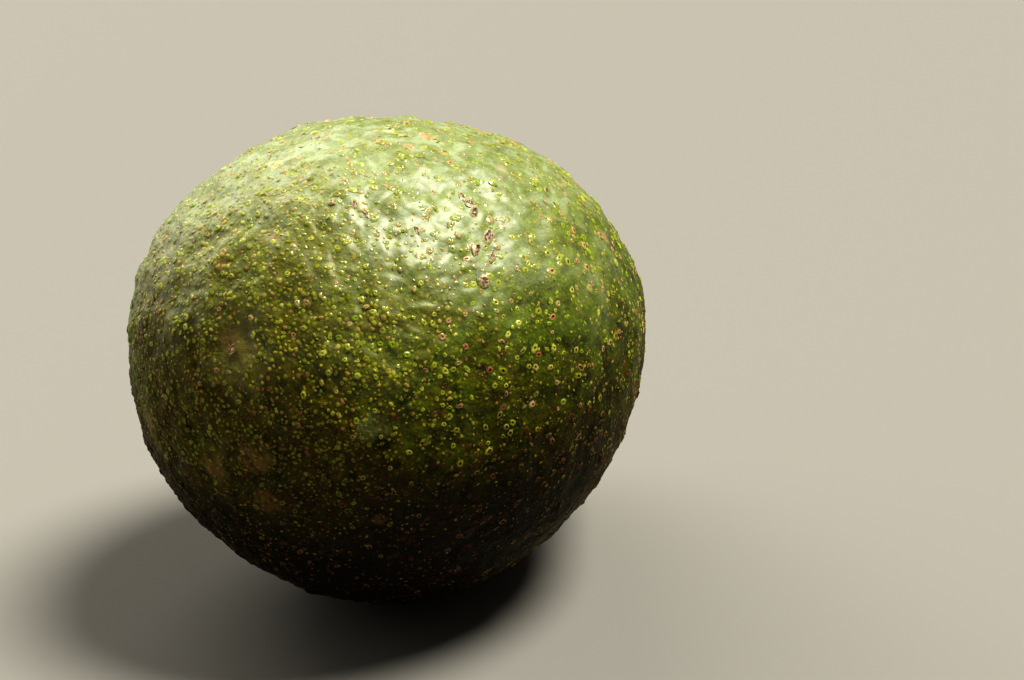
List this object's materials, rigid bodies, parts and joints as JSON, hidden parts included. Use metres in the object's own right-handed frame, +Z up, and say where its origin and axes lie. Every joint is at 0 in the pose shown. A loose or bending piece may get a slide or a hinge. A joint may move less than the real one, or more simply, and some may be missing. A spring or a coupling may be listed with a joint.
{
  "type": "whole avocado",
  "caption": "Whole green-skinned avocado lying on its side, broad rounded blossom end, narrower stem end with a woody stub, resting on a small flat spot.",
  "frame": {"origin": "middle of the small flat spot the fruit rests on, under its weight", "axes": "+X level, towards the stem end, +Z up, +Y to the left of a viewer who looks along +X"},
  "size_m": [0.1042, 0.0753, 0.0751],
  "materials": {
    "skin": "waxy semi-gloss, leathery, speckled with raised yellow-green dots",
    "stem_wood": "dry and matte, with a paler cut face"
  },
  "bodies": {
    "root": {"fruit": "skin", "stem_button": "stem_wood"}
  },
  "joints": []
}
